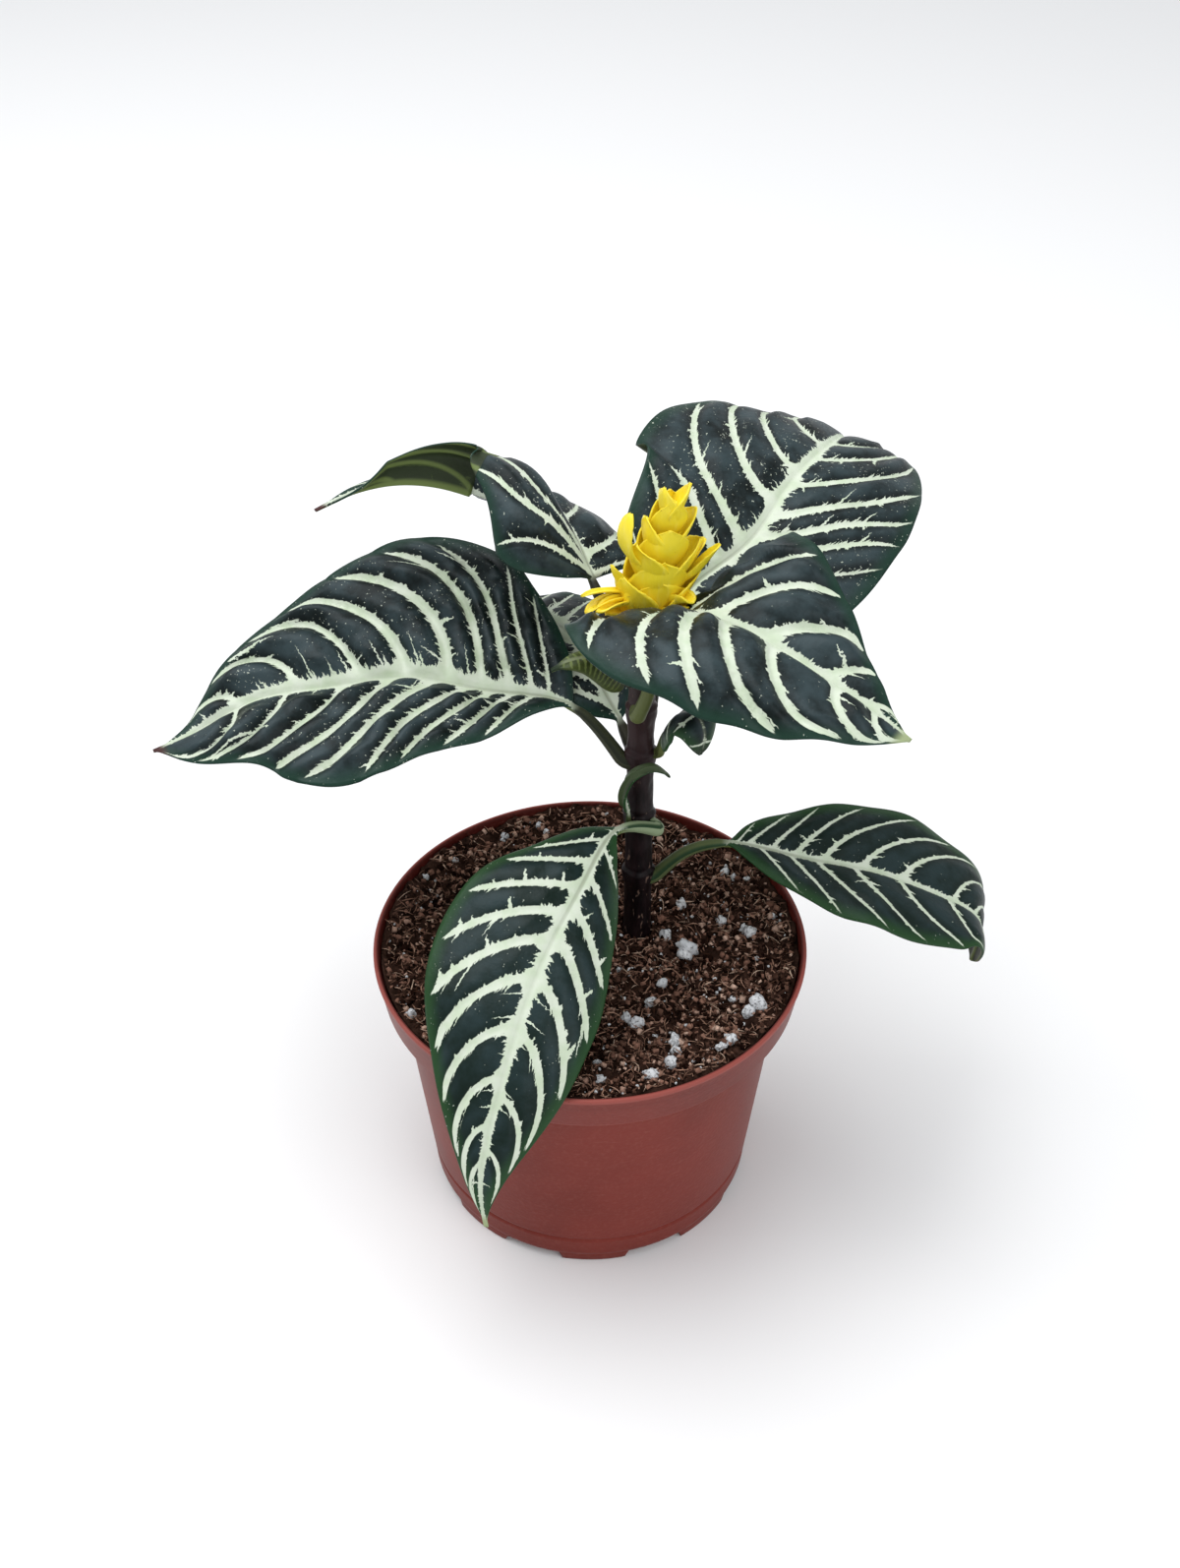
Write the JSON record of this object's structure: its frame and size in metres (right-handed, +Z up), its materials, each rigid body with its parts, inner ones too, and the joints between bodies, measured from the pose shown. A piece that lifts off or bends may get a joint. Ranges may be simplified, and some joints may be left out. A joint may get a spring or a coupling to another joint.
{
  "type": "potted zebra plant",
  "caption": "Potted zebra plant: dark glossy leaves with cream veins and a yellow spike of bracts on a dark stem, in a brick-red plastic grow pot of bark and peat soil.",
  "frame": {"origin": "bottom centre of the whole plant's bounding box, at the level of the pot's feet", "axes": "+Z up along the pot's axis, -Y towards the viewer of the picture, +X to the viewer's right"},
  "size_m": [0.2268, 0.1918, 0.2178],
  "materials": {
    "pot plastic": "satin brick-red moulded plastic with light scuffs",
    "soil": "loose dark peat and coir with white perlite grains",
    "stem": "smooth dark purple-brown bark",
    "leaf": "glossy dark green with cream veins, olive green underneath",
    "bracts": "waxy yellow bracts, golden near the foot"
  },
  "bodies": {
    "root": {"pot": "pot plastic", "soil": "soil", "stem": "stem", "leaf_left": "leaf", "leaf_back_right": "leaf", "leaf_right": "leaf", "leaf_front": "leaf", "leaf_low_right": "leaf", "leaf_back_left": "leaf", "leaf_behind": "leaf", "leaf_young_left": "leaf", "leaf_under_right": "leaf", "leaf_curl": "leaf", "flower": "bracts"}
  },
  "joints": []
}
